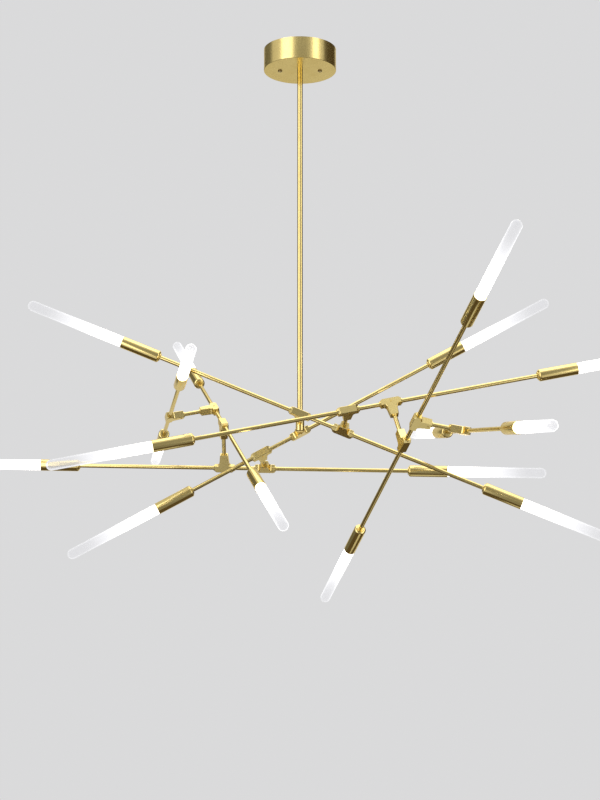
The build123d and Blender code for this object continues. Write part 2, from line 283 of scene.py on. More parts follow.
class LampSizes(bpy.types.PropertyGroup):
    """Sizes of one lamp, along its axis from the closed end of its cup."""

    cup_diameter: FloatProperty(
        name="Cup Diameter",
        description="Outside of the brass cup",
        default=2 * CUP_RADIUS,
        unit="LENGTH",
    )
    cup_shoulder: FloatProperty(
        name="Cup Shoulder",
        description="Rounding of the cup's closed end",
        default=3.2 * MM,
        unit="LENGTH",
    )
    cup_floor: FloatProperty(
        name="Cup Floor",
        description="Thickness of the cup's closed end",
        default=FLOOR_STATION,
        unit="LENGTH",
    )
    cup_wall: FloatProperty(
        name="Cup Wall",
        description="Wall round the glass tube",
        default=0.9 * MM,
        unit="LENGTH",
    )
    neck_diameter: FloatProperty(
        name="Neck Diameter",
        description="Ring round the rod behind the cup",
        default=13.0 * MM,
        unit="LENGTH",
    )
    glass_diameter: FloatProperty(
        name="Glass Diameter",
        description="Outside of the glass tube",
        default=2 * GLASS_RADIUS,
        unit="LENGTH",
    )
    glass_wall: FloatProperty(
        name="Glass Wall",
        description="Thickness of the glass",
        default=1.2 * MM,
        unit="LENGTH",
    )
    bulb_diameter: FloatProperty(
        name="Bulb Diameter",
        description="Outside of the capsule bulb",
        default=11.5 * MM,
        unit="LENGTH",
    )
    bulb_in_holder: FloatProperty(
        name="Bulb in Holder",
        description="Depth of the lamp holder's socket",
        default=8.0 * MM,
        unit="LENGTH",
    )
    segments: IntProperty(
        name="Segments",
        description="Facets round each turned piece",
        default=48,
        min=12,
    )


class BrassLook(bpy.types.PropertyGroup):
    """Colours of the metal."""

    brass: FloatVectorProperty(
        name="Brass",
        description="Colour of the satin brass",
        default=(0.83, 0.665, 0.27),
        subtype="COLOR",
    )
    shade: FloatVectorProperty(
        name="Brass Shade",
        description="Colour of the darker satin",
        default=(0.72, 0.545, 0.19),
        subtype="COLOR",
    )
    steel: FloatVectorProperty(
        name="Steel",
        description="Colour of the plated steel",
        default=(0.56, 0.57, 0.58),
        subtype="COLOR",
    )
    roughness: FloatProperty(
        name="Roughness",
        description="Middle roughness of the satin brass",
        default=0.165,
        min=0.0,
        max=1.0,
    )


class LightLook(bpy.types.PropertyGroup):
    """Colours and strengths of the lit glass."""

    glow: FloatVectorProperty(
        name="Glow",
        description="Colour of the lit glass",
        default=(1.0, 0.93, 0.84),
        subtype="COLOR",
    )
    glow_strength: FloatProperty(
        name="Glow Strength",
        description="Strength of the glow at the cup's mouth",
        default=0.8,
        min=0.0,
    )
    glow_reach: FloatProperty(
        name="Glow Reach",
        description="From the cup's mouth to the glow's end",
        default=112 * MM,
        unit="LENGTH",
    )
    haze_strength: FloatProperty(
        name="Haze Strength",
        description="Strength of the faint glow past the bulb",
        default=0.24,
        min=0.0,
    )
    haze_reach: FloatProperty(
        name="Haze Reach",
        description="From the cup's mouth to the haze's end",
        default=150 * MM,
        unit="LENGTH",
    )


class StageLook(bpy.types.PropertyGroup):
    """The room round the chandelier."""

    background: FloatVectorProperty(
        name="Background",
        description="Colour of the room",
        default=(0.702, 0.702, 0.708),
        subtype="COLOR",
    )
    ambient: FloatProperty(
        name="Ambient",
        description="Strength of the room's soft light",
        default=0.8,
        min=0.0,
    )
    floor_depth: FloatProperty(
        name="Floor Depth",
        description="From the ceiling down to the floor",
        default=6.0,
        unit="LENGTH",
    )


# ---- node trees ----


class Graph:
    """A node tree with short calls for adding nodes."""

    def __init__(self, tree):
        self.tree = tree

    def node(self, kind, inputs=None, **settings):
        """A new node with its settings, and its inputs linked or set by name or number."""
        node = self.tree.nodes.new(kind)
        for name, value in settings.items():
            setattr(node, name, value)
        for name, value in (inputs or {}).items():
            self.feed(node.inputs[name], value)
        return node

    def feed(self, socket, value):
        """Links a socket to another one, or gives it a value."""
        if isinstance(value, bpy.types.NodeSocket):
            self.tree.links.new(value, socket)
        else:
            socket.default_value = value

    def math(self, operation, *values):
        """The result of a math node."""
        return self.node("ShaderNodeMath", dict(enumerate(values)), operation=operation).outputs[0]

    def half(self, diameter):
        """Half of a diameter."""
        return self.math("MULTIPLY", diameter, 0.5)

    def seen_directly(self):
        """1 for what the camera, metal and glass see, and 0 for what only lights the scene."""
        rays = self.node("ShaderNodeLightPath").outputs
        mirrored = self.math("MAXIMUM", rays["Is Glossy Ray"], rays["Is Transmission Ray"])
        return self.math("MAXIMUM", rays["Is Camera Ray"], mirrored)

    def xyz(self, x=0.0, y=0.0, z=0.0):
        """A vector from three numbers."""
        return self.node("ShaderNodeCombineXYZ", {"X": x, "Y": y, "Z": z}).outputs[0]

    def parts(self, vector):
        """A vector's three numbers, by name."""
        return self.node("ShaderNodeSeparateXYZ", {"Vector": vector}).outputs


class GrowingTree(Graph):
    """A geometry node tree that grows one piece on each point of a mesh, facing along the point's aim."""

    def __init__(self, name, sizes):
        super().__init__(bpy.data.node_groups.new(name, "GeometryNodeTree"))
        self.add_socket("Points", "INPUT", "NodeSocketGeometry")
        self.add_socket("Geometry", "OUTPUT", "NodeSocketGeometry")
        for size, value in sizes.items():
            kind = "NodeSocketInt" if isinstance(value, int) else "NodeSocketFloat"
            self.add_socket(size, "INPUT", kind).default_value = value
        self.add_socket("Material", "INPUT", "NodeSocketMaterial")
        self.given = self.tree.nodes.new("NodeGroupInput").outputs

    def add_socket(self, name, side, kind):
        """A new input or output of the whole tree."""
        return self.tree.interface.new_socket(name, in_out=side, socket_type=kind)

    def grow(self, piece):
        """Ends the tree: the piece on every point, as real geometry with its material."""
        own = self.node("GeometryNodeInputPosition").outputs[0]
        stored = self.node(
            "GeometryNodeStoreNamedAttribute",
            {"Geometry": piece, "Name": OWN, "Value": own},
            data_type="FLOAT_VECTOR",
            domain="POINT",
        )
        aim = self.node("GeometryNodeInputNamedAttribute", {"Name": AIM}, data_type="FLOAT_VECTOR")
        turned = self.node("FunctionNodeAlignRotationToVector", {"Vector": aim.outputs[0]}, axis="Z")
        placed = self.node(
            "GeometryNodeInstanceOnPoints",
            {"Points": self.given["Points"], "Instance": stored.outputs[0], "Rotation": turned.outputs[0]},
        )
        real = self.node("GeometryNodeRealizeInstances", {"Geometry": placed.outputs[0]})
        finished = self.node(
            "GeometryNodeSetMaterial", {"Geometry": real.outputs[0], "Material": self.given["Material"]}
        )
        ending = self.tree.nodes.new("NodeGroupOutput")
        self.feed(ending.inputs["Geometry"], finished.outputs[0])
        return self.tree


def turned_piece(graph, segments, corners, hollow):
    """A piece turned on a lathe: corners are (station, radius, rounding) round its half section.

    The corners become the points of a line, by their index, and the line is rounded and swept round a
    small circle. A hollow piece's outline is closed, and a solid one's starts and ends on the axis. The
    sweep leaves the faces pointing inwards, so they are turned round.
    """
    count = len(corners)
    line = graph.node("GeometryNodeCurvePrimitiveLine", {"End": (0.0, 0.0, 1.0)})
    points = graph.node("GeometryNodeResampleCurve", {"Curve": line.outputs[0], "Count": count})
    index = graph.node("GeometryNodeInputIndex").outputs[0]
    places = graph.node("GeometryNodeIndexSwitch", {"Index": index}, data_type="VECTOR")
    roundings = graph.node("GeometryNodeIndexSwitch", {"Index": index}, data_type="FLOAT")
    for switch in (places, roundings):
        while len(switch.index_switch_items) < count:
            switch.index_switch_items.new()
    for number, (station, radius, rounding) in enumerate(corners):
        across = graph.math("SUBTRACT", radius, SWEEP_RADIUS)
        along = graph.math("MULTIPLY", station, -1.0)
        graph.feed(places.inputs[1 + number], graph.xyz(across, along))
        graph.feed(roundings.inputs[1 + number], rounding)
    outline = graph.node(
        "GeometryNodeSetPosition", {"Geometry": points.outputs[0], "Position": places.outputs[0]}
    )
    closed = graph.node("GeometryNodeSetSplineCyclic", {"Geometry": outline.outputs[0], "Cyclic": hollow})
    rounded = graph.node(
        "GeometryNodeFilletCurve",
        {
            "Curve": closed.outputs[0],
            "Count": ROUNDING_STEPS,
            "Radius": roundings.outputs[0],
            "Limit Radius": True,
        },
        mode="POLY",
    )
    circle = graph.node(
        "GeometryNodeCurvePrimitiveCircle", {"Resolution": segments, "Radius": SWEEP_RADIUS}, mode="RADIUS"
    )
    upright = graph.node("GeometryNodeSetCurveNormal", {"Curve": circle.outputs[0]}, mode="Z_UP")
    turned = graph.node(
        "GeometryNodeCurveToMesh", {"Curve": upright.outputs[0], "Profile Curve": rounded.outputs[0]}
    )
    welded = graph.node("GeometryNodeMergeByDistance", {"Geometry": turned.outputs[0], "Distance": WELD})
    return graph.node("GeometryNodeFlipFaces", {"Mesh": welded.outputs[0]}).outputs[0]


def tube_tree():
    """A straight tube from each point."""
    tree = GrowingTree(
        "straight tube",
        {
            "Length": (LAST_END - FIRST_END).length,
            "Radius": ROD_RADIUS,
            "Bore Radius": ROD_BORE_RADIUS,
            "Segments": TUBE_FACETS,
        },
    )
    given = tree.given
    corners = [
        (0.0, given["Bore Radius"], 0.0),
        (0.0, given["Radius"], TUBE_EDGE),
        (given["Length"], given["Radius"], TUBE_EDGE),
        (given["Length"], given["Bore Radius"], 0.0),
    ]
    return tree.grow(turned_piece(tree, given["Segments"], corners, hollow=True))


def cup_tree():
    """A lamp's brass cup, with its neck round the rod and its seat for the glass."""
    sizes = bpy.context.scene.lamp_sizes
    tree = GrowingTree(
        "lamp cup",
        {
            "Diameter": sizes.cup_diameter,
            "Mouth": MOUTH_STATION,
            "Shoulder": sizes.cup_shoulder,
            "Floor": sizes.cup_floor,
            "Wall": sizes.cup_wall,
            "Seat": SEAT_STATION,
            "Neck Diameter": sizes.neck_diameter,
            "Neck Station": NECK_STATION,
            "Segments": sizes.segments,
        },
    )
    given = tree.given
    outside = tree.half(given["Diameter"])
    neck = tree.half(given["Neck Diameter"])
    glass_bore = tree.math("SUBTRACT", outside, given["Wall"])
    holder_bore = HOLDER_RADIUS + HOLDER_GAP
    rod_seat = ROD_RADIUS + CLOSE_GAP
    corners = [
        (given["Neck Station"], rod_seat, 0.0),
        (given["Neck Station"], neck, NECK_EDGE),
        (0.0, neck, 0.0),
        (0.0, outside, given["Shoulder"]),
        (given["Mouth"], outside, LIP_EDGE),
        (given["Mouth"], glass_bore, INNER_LIP_EDGE),
        (given["Seat"], glass_bore, 0.0),
        (given["Seat"], holder_bore, 0.0),
        (given["Floor"], holder_bore, 0.0),
        (given["Floor"], ROD_BORE_RADIUS, 0.0),
        (ROD_IN_CUP, ROD_BORE_RADIUS, 0.0),
        (ROD_IN_CUP, rod_seat, 0.0),
    ]
    return tree.grow(turned_piece(tree, given["Segments"], corners, hollow=True))


def glass_tree():
    """A lamp's glass tube, open in its cup and closed by a round tip."""
    sizes = bpy.context.scene.lamp_sizes
    tree = GrowingTree(
        "glass tube",
        {
            "Diameter": sizes.glass_diameter,
            "Wall": sizes.glass_wall,
            "Seat": SEAT_STATION,
            "Tip": TIP_STATION,
            "Segments": sizes.segments,
        },
    )
    given = tree.given
    outside = tree.half(given["Diameter"])
    inside = tree.math("SUBTRACT", outside, given["Wall"])
    inner_tip = tree.math("SUBTRACT", given["Tip"], given["Wall"])
    corners = [
        (given["Seat"], inside, 0.0),
        (given["Seat"], outside, 0.0),
        (given["Tip"], outside, outside),
        (given["Tip"], 0.0, 0.0),
        (inner_tip, 0.0, 0.0),
        (inner_tip, inside, inside),
    ]
    return tree.grow(turned_piece(tree, given["Segments"], corners, hollow=True))


def bulb_tree():
    """A lamp's capsule bulb."""
    sizes = bpy.context.scene.lamp_sizes
    tree = GrowingTree(
        "capsule bulb",
        {
            "Diameter": sizes.bulb_diameter,
            "Base": SEAT_STATION - sizes.bulb_in_holder,
            "Tip": BULB_STATION,
            "Segments": SMALL_FACETS,
        },
    )
    given = tree.given
    outside = tree.half(given["Diameter"])
    corners = [
        (given["Base"], 0.0, 0.0),
        (given["Base"], outside, BULB_EDGE),
        (given["Tip"], outside, outside),
        (given["Tip"], 0.0, 0.0),
    ]
    return tree.grow(turned_piece(tree, given["Segments"], corners, hollow=False))


def holder_tree():
    """A lamp holder, with its socket for the bulb."""
    sizes = bpy.context.scene.lamp_sizes
    tree = GrowingTree(
        "lamp holder",
        {
            "Radius": HOLDER_RADIUS,
            "Socket Diameter": sizes.bulb_diameter,
            "Socket Depth": sizes.bulb_in_holder,
            "Base": FLOOR_STATION,
            "Top": SEAT_STATION,
            "Segments": SMALL_FACETS,
        },
    )
    given = tree.given
    socket = tree.math("ADD", tree.half(given["Socket Diameter"]), CLOSE_GAP)
    socket_floor = tree.math("SUBTRACT", given["Top"], given["Socket Depth"])
    corners = [
        (given["Base"], 0.0, 0.0),
        (given["Base"], given["Radius"], HOLDER_EDGE),
        (given["Top"], given["Radius"], HOLDER_EDGE),
        (given["Top"], socket, SOCKET_EDGE),
        (socket_floor, socket, 0.0),
        (socket_floor, 0.0, 0.0),
    ]
    return tree.grow(turned_piece(tree, given["Segments"], corners, hollow=False))


def grub_screw_tree():
    """A grub screw with a hexagon socket, its head at the point and its length behind it."""
    tree = GrowingTree(
        "grub screw",
        {
            "Diameter": GRUB_DIAMETER,
            "Length": GRUB_LENGTH,
            "Socket Across Flats": GRUB_KEY,
            "Socket Depth": GRUB_SOCKET_DEPTH,
        },
    )
    given = tree.given
    barrel = tree.node(
        "GeometryNodeMeshCylinder",
        {"Vertices": SMALL_FACETS, "Radius": tree.half(given["Diameter"]), "Depth": given["Length"]},
        fill_type="NGON",
    )
    lowered = tree.node(
        "GeometryNodeTransform",
        {
            "Geometry": barrel.outputs["Mesh"],
            "Translation": tree.xyz(z=tree.math("MULTIPLY", given["Length"], -0.5)),
        },
    )
    rim = tree.node(
        "GeometryNodeExtrudeMesh",
        {"Mesh": lowered.outputs[0], "Selection": barrel.outputs["Top"], "Offset Scale": 0.0},
        mode="FACES",
    )
    place = tree.parts(tree.node("GeometryNodeInputPosition").outputs[0])
    turn = tree.math("ARCTAN2", place["Y"], place["X"])
    from_flat = tree.math("SUBTRACT", tree.math("FLOORED_MODULO", turn, SIXTH_TURN), SIXTH_TURN / 2)
    hexagon = tree.math("DIVIDE", tree.half(given["Socket Across Flats"]), tree.math("COSINE", from_flat))
    corner_x = tree.math("MULTIPLY", hexagon, tree.math("COSINE", turn))
    corner_y = tree.math("MULTIPLY", hexagon, tree.math("SINE", turn))
    socket_edge = tree.node(
        "GeometryNodeSetPosition",
        {
            "Geometry": rim.outputs["Mesh"],
            "Selection": rim.outputs["Top"],
            "Position": tree.xyz(corner_x, corner_y, place["Z"]),
        },
    )
    socket = tree.node(
        "GeometryNodeExtrudeMesh",
        {
            "Mesh": socket_edge.outputs[0],
            "Selection": rim.outputs["Top"],
            "Offset": (0.0, 0.0, -1.0),
            "Offset Scale": given["Socket Depth"],
        },
        mode="FACES",
    )
    return tree.grow(socket.outputs["Mesh"])


def grown_piece(name, tree, points, aims, material, **sizes):
    """A mesh object: what a tree grows on points that face along aims."""
    seeds = bpy.data.meshes.new(name)
    seeds.from_pydata(points, [], [])
    facing = seeds.attributes.new(AIM, "FLOAT_VECTOR", "POINT")
    facing.data.foreach_set("vector", [number for aim in aims for number in aim])
    piece = bpy.data.objects.new(name, seeds)
    bpy.context.scene.collection.objects.link(piece)
    growth = piece.modifiers.new("growth", "NODES")
    growth.node_group = tree
    for size, value in {"Material": material, **sizes}.items():
        growth[tree.interface.items_tree[size].identifier] = value
    scene_state = bpy.context.evaluated_depsgraph_get()
    mesh = bpy.data.meshes.new_from_object(piece.evaluated_get(scene_state))
    piece.modifiers.remove(growth)
    piece.data = mesh
    bpy.data.meshes.remove(seeds)
    mesh.name = name
    mesh.shade_smooth()
    mesh.set_sharp_from_angle(angle=SHARP_ANGLE)
    if not mesh.polygons:
        raise RuntimeError(f"{name} came out empty")
    return piece


# ---- finishes ----


class Finish(Graph):
    """A material under construction, around one Principled shader."""

    # a Mix node's colour sockets, which share their names with its others
    COLOUR_A, COLOUR_B, COLOUR_RESULT = 6, 7, 2

    def __init__(self, name):
        self.material = bpy.data.materials.new(name)
        self.material.use_nodes = True
        super().__init__(self.material.node_tree)
        self.shader = self.tree.nodes["Principled BSDF"]

    def surface(self, values):
        """Links or sets the shader's sockets by name."""
        for name, value in values.items():
            self.feed(self.shader.inputs[name], value)

    def own_place(self):
        """The place in the piece's own frame, with Z along its axis."""
        return self.node("ShaderNodeAttribute", attribute_name=OWN).outputs["Vector"]

    def object_place(self):
        """The place in the chandelier's frame."""
        return self.node("ShaderNodeTexCoord").outputs["Object"]

    def round_stem(self):
        """The place as the distance round the stem's axis, the distance from it and the height."""
        place = self.parts(self.object_place())
        x, y = place["X"], place["Y"]
        around = self.math("MULTIPLY", self.math("ARCTAN2", y, x), ROUND_STEM_RADIUS)
        squares = self.math("ADD", self.math("MULTIPLY", x, x), self.math("MULTIPLY", y, y))
        return self.xyz(around, self.math("POWER", squares, 0.5), place["Z"])

    def stretched(self, place, scale):
        """A place scaled along each axis, which draws a pattern out where the scale is small."""
        return self.node("ShaderNodeMapping", {"Vector": place, "Scale": scale}).outputs[0]

    def noise(self, place, waves, detail=3.0, roughness=0.55):
        """Soft noise from 0 to 1, with so many waves a metre."""
        inputs = {"Vector": place, "Scale": waves, "Detail": detail, "Roughness": roughness}
        return self.node("ShaderNodeTexNoise", inputs).outputs["Fac"]

    def between(self, value, low, high, start=0.0, end=1.0, **settings):
        """A value from start to end mapped to a number from low to high."""
        inputs = {"Value": value, "From Min": start, "From Max": end, "To Min": low, "To Max": high}
        return self.node("ShaderNodeMapRange", inputs, **settings).outputs[0]

    def faded(self, value, start, end):
        """1 up to a start, and softly down to 0 at an end."""
        return self.between(value, 1.0, 0.0, start, end, interpolation_type="SMOOTHERSTEP")

    def mix(self, share, first, second):
        """A colour between two others."""
        inputs = {"Factor": share, self.COLOUR_A: first, self.COLOUR_B: second}
        return self.node("ShaderNodeMix", inputs, data_type="RGBA").outputs[self.COLOUR_RESULT]

    def bump(self, height, strength, distance):
        """Gives the shader a bumpy surface."""
        node = self.node("ShaderNodeBump", {"Height": height, "Strength": strength, "Distance": distance})
        self.surface({"Normal": node.outputs[0]})


def opaque(colour):
    """A colour with full alpha."""
    return (*colour, 1.0)


def satin_brass(name, place_of, stretch, grain_size, spread, depth, darker=0.0, rougher=0.0):
    """Brushed brass: long fine grain in the roughness and the surface, and a slow change of tone.

    place_of gives the place that the grain follows, and stretch draws the grain out along each axis of it.
    spread is how far the roughness varies, and depth how deep the grain is. darker and rougher move the
    tone and the roughness from their middles.
    """
    look = bpy.context.scene.brass_look
    finish = Finish(name)
    place = place_of(finish)
    grain = finish.noise(finish.stretched(place, stretch), 1.0 / grain_size, detail=4.0, roughness=0.65)
    cloud = finish.noise(place, CLOUD_WAVES, detail=2.0)
    tone = finish.between(cloud, darker, darker + SHADE_SHARE, *CLOUD_RANGE)
    middle = look.roughness + rougher
    finish.surface(
        {
            "Base Color": finish.mix(tone, opaque(look.brass), opaque(look.shade)),
            "Roughness": finish.between(grain, middle - spread / 2, middle + spread / 2, *NOISE_RANGE),
            "Metallic": 1.0,
            "Specular Tint": opaque(GRAZED_BRASS),
        }
    )
    finish.bump(grain, GRAIN_STRENGTH, depth)
    return finish.material


def side_shaded_screw_brass():
    """Brass screw heads: bare brass on their level faces, with painted shade round their sides and in their
    slots.
    """
    look = bpy.context.scene.brass_look
    finish = Finish("screw brass")
    mottle = finish.noise(finish.object_place(), MOTTLE_WAVES)
    normal = finish.node("ShaderNodeNewGeometry").outputs["Normal"]
    upright = finish.math("ABSOLUTE", finish.parts(normal)["Z"])
    # painted shade: the more a face turns from level, the more of the dark brown it gets, which darkens the
    # heads' sides and slot walls
    face = finish.between(upright, 0.0, 1.0, *SCREW_SIDE_SHADE_RANGE)
    unshaded_brass = finish.mix(mottle, opaque(look.brass), opaque(look.shade))
    finish.surface(
        {
            "Base Color": finish.mix(face, opaque(SCREW_SIDE_SHADE), unshaded_brass),
            "Roughness": finish.between(mottle, *SCREW_ROUGHNESS),
            "Metallic": 1.0,
        }
    )
    finish.bump(mottle, strength=0.2, distance=0.01 * MM)
    return finish.material


def plated_steel():
    """Zinc-plated steel with a faint spangle."""
    look = bpy.context.scene.brass_look
    finish = Finish("zinc plate")
    spangle = finish.noise(finish.object_place(), SPANGLE_WAVES, detail=2.0)
    dark_steel = [STEEL_SPANGLE * part for part in look.steel]
    finish.surface(
        {
            "Base Color": finish.mix(spangle, opaque(look.steel), opaque(dark_steel)),
            "Roughness": finish.between(spangle, *STEEL_ROUGHNESS),
            "Metallic": 1.0,
        }
    )
    finish.bump(spangle, strength=0.15, distance=0.05 * MM)
    return finish.material


def frosted_glass():
    """Frosted glass that glows from the cup's mouth to its bulb's end, and is clearer past it."""
    look = bpy.context.scene.light_look
    finish = Finish("frosted glass")
    own = finish.own_place()
    station = finish.parts(own)["Z"]
    frost = finish.noise(own, FROST_WAVES, detail=2.0)
    glow_start = MOUTH_STATION + GLOW_START * look.glow_reach
    haze_start = MOUTH_STATION + HAZE_START * look.haze_reach
    lit = finish.faded(station, glow_start, MOUTH_STATION + look.glow_reach)
    haze = finish.faded(station, haze_start, MOUTH_STATION + look.haze_reach)
    glow = finish.math("MULTIPLY", finish.math("POWER", lit, GLOW_FALL), look.glow_strength)
    hazy = finish.math("MULTIPLY_ADD", haze, look.haze_strength - TIP_GLOW, TIP_GLOW)
    rim = finish.node("ShaderNodeLayerWeight", {"Blend": 0.5}).outputs["Facing"]
    # painted highlight: the glow grows towards the outlines that are seen edge on, which brightens the
    # tubes' rims
    edge_on_glow = finish.math("MULTIPLY_ADD", finish.math("POWER", rim, RIM_FALL), RIM_GLOW, 1.0)
    finish.surface(
        {
            "Emission Strength": finish.math("MULTIPLY", finish.math("ADD", glow, hazy), edge_on_glow),
            "Emission Color": finish.mix(lit, opaque(HAZE), opaque(look.glow)),
            "Base Color": opaque(GLASS_TINT),
            "Roughness": finish.between(frost, *GLASS_ROUGHNESS, *NOISE_RANGE),
            "Transmission Weight": 1.0,
            "IOR": GLASS_BEND,
        }
    )
    return finish.material


def lit_bulb():
    """A warm white bulb, dimmer towards its tip."""
    look = bpy.context.scene.light_look
    finish = Finish("lit bulb")
    own = finish.own_place()
    station = finish.parts(own)["Z"]
    body = finish.between(station, BULB_MOUTH_STRENGTH, BULB_TIP_STRENGTH, MOUTH_STATION, BULB_STATION)
    ripple = finish.between(finish.noise(own, RIPPLE_WAVES), *BULB_RIPPLE, *NOISE_RANGE)
    finish.surface(
        {
            "Emission Strength": finish.math("MULTIPLY", body, ripple),
            "Emission Color": opaque(look.glow),
            "Base Color": opaque(BULB_WHITE),
            "Roughness": BULB_ROUGHNESS,
        }
    )
    return finish.material


def glazed_ceramic():
    """The white ceramic of the lamp holders."""
    finish = Finish("glazed ceramic")
    speckle = finish.noise(finish.own_place(), SPECKLE_WAVES)
    finish.surface(
        {
            "Base Color": finish.mix(speckle, opaque(CERAMIC_SHADE), opaque(CERAMIC_WHITE)),
            "Roughness": finish.between(speckle, *CERAMIC_ROUGHNESS),
        }
    )
    return finish.material


def give(name, material):
    """Puts a material on a CAD node."""
    node = frame["nodes"][name]
    for slot in node.material_slots:
        slot.material = material


def seat(piece, node):
    """Lets a new piece stand for a CAD node, on the node's body."""
    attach(piece, body_of_node(node))
    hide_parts(node)


# ---- operators ----


class CHANDELIER_OT_finish_castings(bpy.types.Operator):
    """Give the canopy, hub, tees and ceiling hardware their metal"""

    bl_idname = "chandelier.finish_castings"
    bl_label = "Finish Canopy, Hub and Tees"

    def execute(self, context):
        canopy = satin_brass(
            "brushed canopy brass",
            Finish.round_stem,
            stretch=(1.0, 0.1, 0.03),
            grain_size=0.5 * MM,
            spread=0.10,
            depth=0.02 * MM,
            rougher=0.09,
        )
        tee = satin_brass(
            "satin tee brass",
            Finish.object_place,
            stretch=(1.0, 1.0, 1.0),
            grain_size=0.35 * MM,
            spread=0.08,
            depth=0.015 * MM,
            darker=-0.25,
            rougher=0.05,
        )
        screw = side_shaded_screw_brass()
        steel = plated_steel()
        give("canopy", canopy)
        give("hub", tee)
        give("cover_screws", screw)
        for name in ("ceiling_crossbar", "hanging_nipple", "nipple_locknut"):
            give(name, steel)
        for name in frame["nodes"]:
            if name.startswith("tee_"):
                give(name, tee)
        return {"FINISHED"}


class CHANDELIER_OT_draw_tubes(bpy.types.Operator):
    """Draw the stem pipe, the rods and the links as fine round tubes"""

    bl_idname = "chandelier.draw_tubes"
    bl_label = "Draw Tubes"

    def execute(self, context):
        brass = satin_brass(
            "drawn tube brass",
            Finish.own_place,
            stretch=(1.0, 1.0, 0.02),
            grain_size=0.25 * MM,
            spread=0.10,
            depth=0.012 * MM,
        )
        tree = tube_tree()
        for name in sorted(frame["nodes"]):
            if name.startswith(("rod_", "link_", "stem_pipe")):
                start, end = tube_ends(name)
                bore, radius = tube_radii(name)
                tube = grown_piece(
                    "fine_" + name,
                    tree,
                    [start],
                    [(end - start).normalized()],
                    brass,
                    Length=(end - start).length,
                    Radius=radius,
                    **{"Bore Radius": bore},
                )
                seat(tube, name)
        return {"FINISHED"}


class CHANDELIER_OT_turn_cups(bpy.types.Operator):
    """Turn the sixteen lamp cups"""

    bl_idname = "chandelier.turn_cups"
    bl_label = "Turn Cups"

    def execute(self, context):
        brass = satin_brass(
            "turned cup brass",
            Finish.own_place,
            stretch=(1.0, 1.0, 0.03),
            grain_size=0.3 * MM,
            spread=0.08,
            depth=0.012 * MM,
        )
        tree = cup_tree()
        for arm in ARM_NAMES:
            cups = grown_piece("turned_cups_" + arm, tree, *lamp_places(arm), brass)
            seat(cups, "cups_" + arm)
        return {"FINISHED"}


class CHANDELIER_OT_blow_glass(bpy.types.Operator):
    """Make the sixteen glass tubes"""

    bl_idname = "chandelier.blow_glass"
    bl_label = "Blow Glass Tubes"

    def execute(self, context):
        glass = frosted_glass()
        tree = glass_tree()
        for arm in ARM_NAMES:
            tubes = grown_piece("blown_tubes_" + arm, tree, *lamp_places(arm), glass)
            seat(tubes, "glass_tubes_" + arm)
        return {"FINISHED"}


class CHANDELIER_OT_fit_bulbs(bpy.types.Operator):
    """Fit the bulbs and their holders"""

    bl_idname = "chandelier.fit_bulbs"
    bl_label = "Fit Bulbs and Holders"

    def execute(self, context):
        bulb_glass = lit_bulb()
        ceramic = glazed_ceramic()
        bulbs = bulb_tree()
        holders = holder_tree()
        for arm in ARM_NAMES:
            lit_bulbs = grown_piece("lit_bulbs_" + arm, bulbs, *lamp_places(arm), bulb_glass)
            seat(lit_bulbs, "bulbs_" + arm)
            lamp_holders = grown_piece("holders_" + arm, holders, *lamp_places(arm), ceramic)
            seat(lamp_holders, "bulbs_" + arm)
        return {"FINISHED"}


class CHANDELIER_OT_drive_grub_screws(bpy.types.Operator):
    """Drive a grub screw against the rod and the link in every tee"""

    bl_idname = "chandelier.drive_grub_screws"
    bl_label = "Drive Grub Screws"

    def rod_grub_side(self, node, place, facing):
        """The side of a tee that has the rod's grub hole: 1 along facing, or -1."""
        along = np.array(facing)
        points = node_points(node) - np.array(place)
        heights = points @ along
        near = np.linalg.norm(points - np.outer(heights, along), axis=1) < GRUB_HOLE_REACH
        ahead = (heights[near] > TEE_FACES_FROM).sum()
        behind = (heights[near] < -TEE_FACES_FROM).sum()
        return 1 if ahead > behind else -1

    def execute(self, context):
        brass = satin_brass(
            "grub screw brass",
            Finish.own_place,
            stretch=(1.0, 1.0, 1.0),
            grain_size=0.3 * MM,
            spread=0.10,
            depth=0.02 * MM,
        )
        tree = grub_screw_tree()
        out = TEE_HALF - GRUB_SUNK
        for arm in ARM_NAMES:
            heads, aims = [], []
            for node, place, along, stem in tees_of(arm):
                facing = along.cross(stem).normalized()
                facing *= self.rod_grub_side(node, place, facing)
                heads += [place + facing * out, place + stem * LINK_GRUB_STATION - facing * out]
                aims += [facing, -facing]
            screws = grown_piece("grub_screws_" + arm, tree, heads, aims, brass)
            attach(screws, "arm_" + arm)
        return {"FINISHED"}


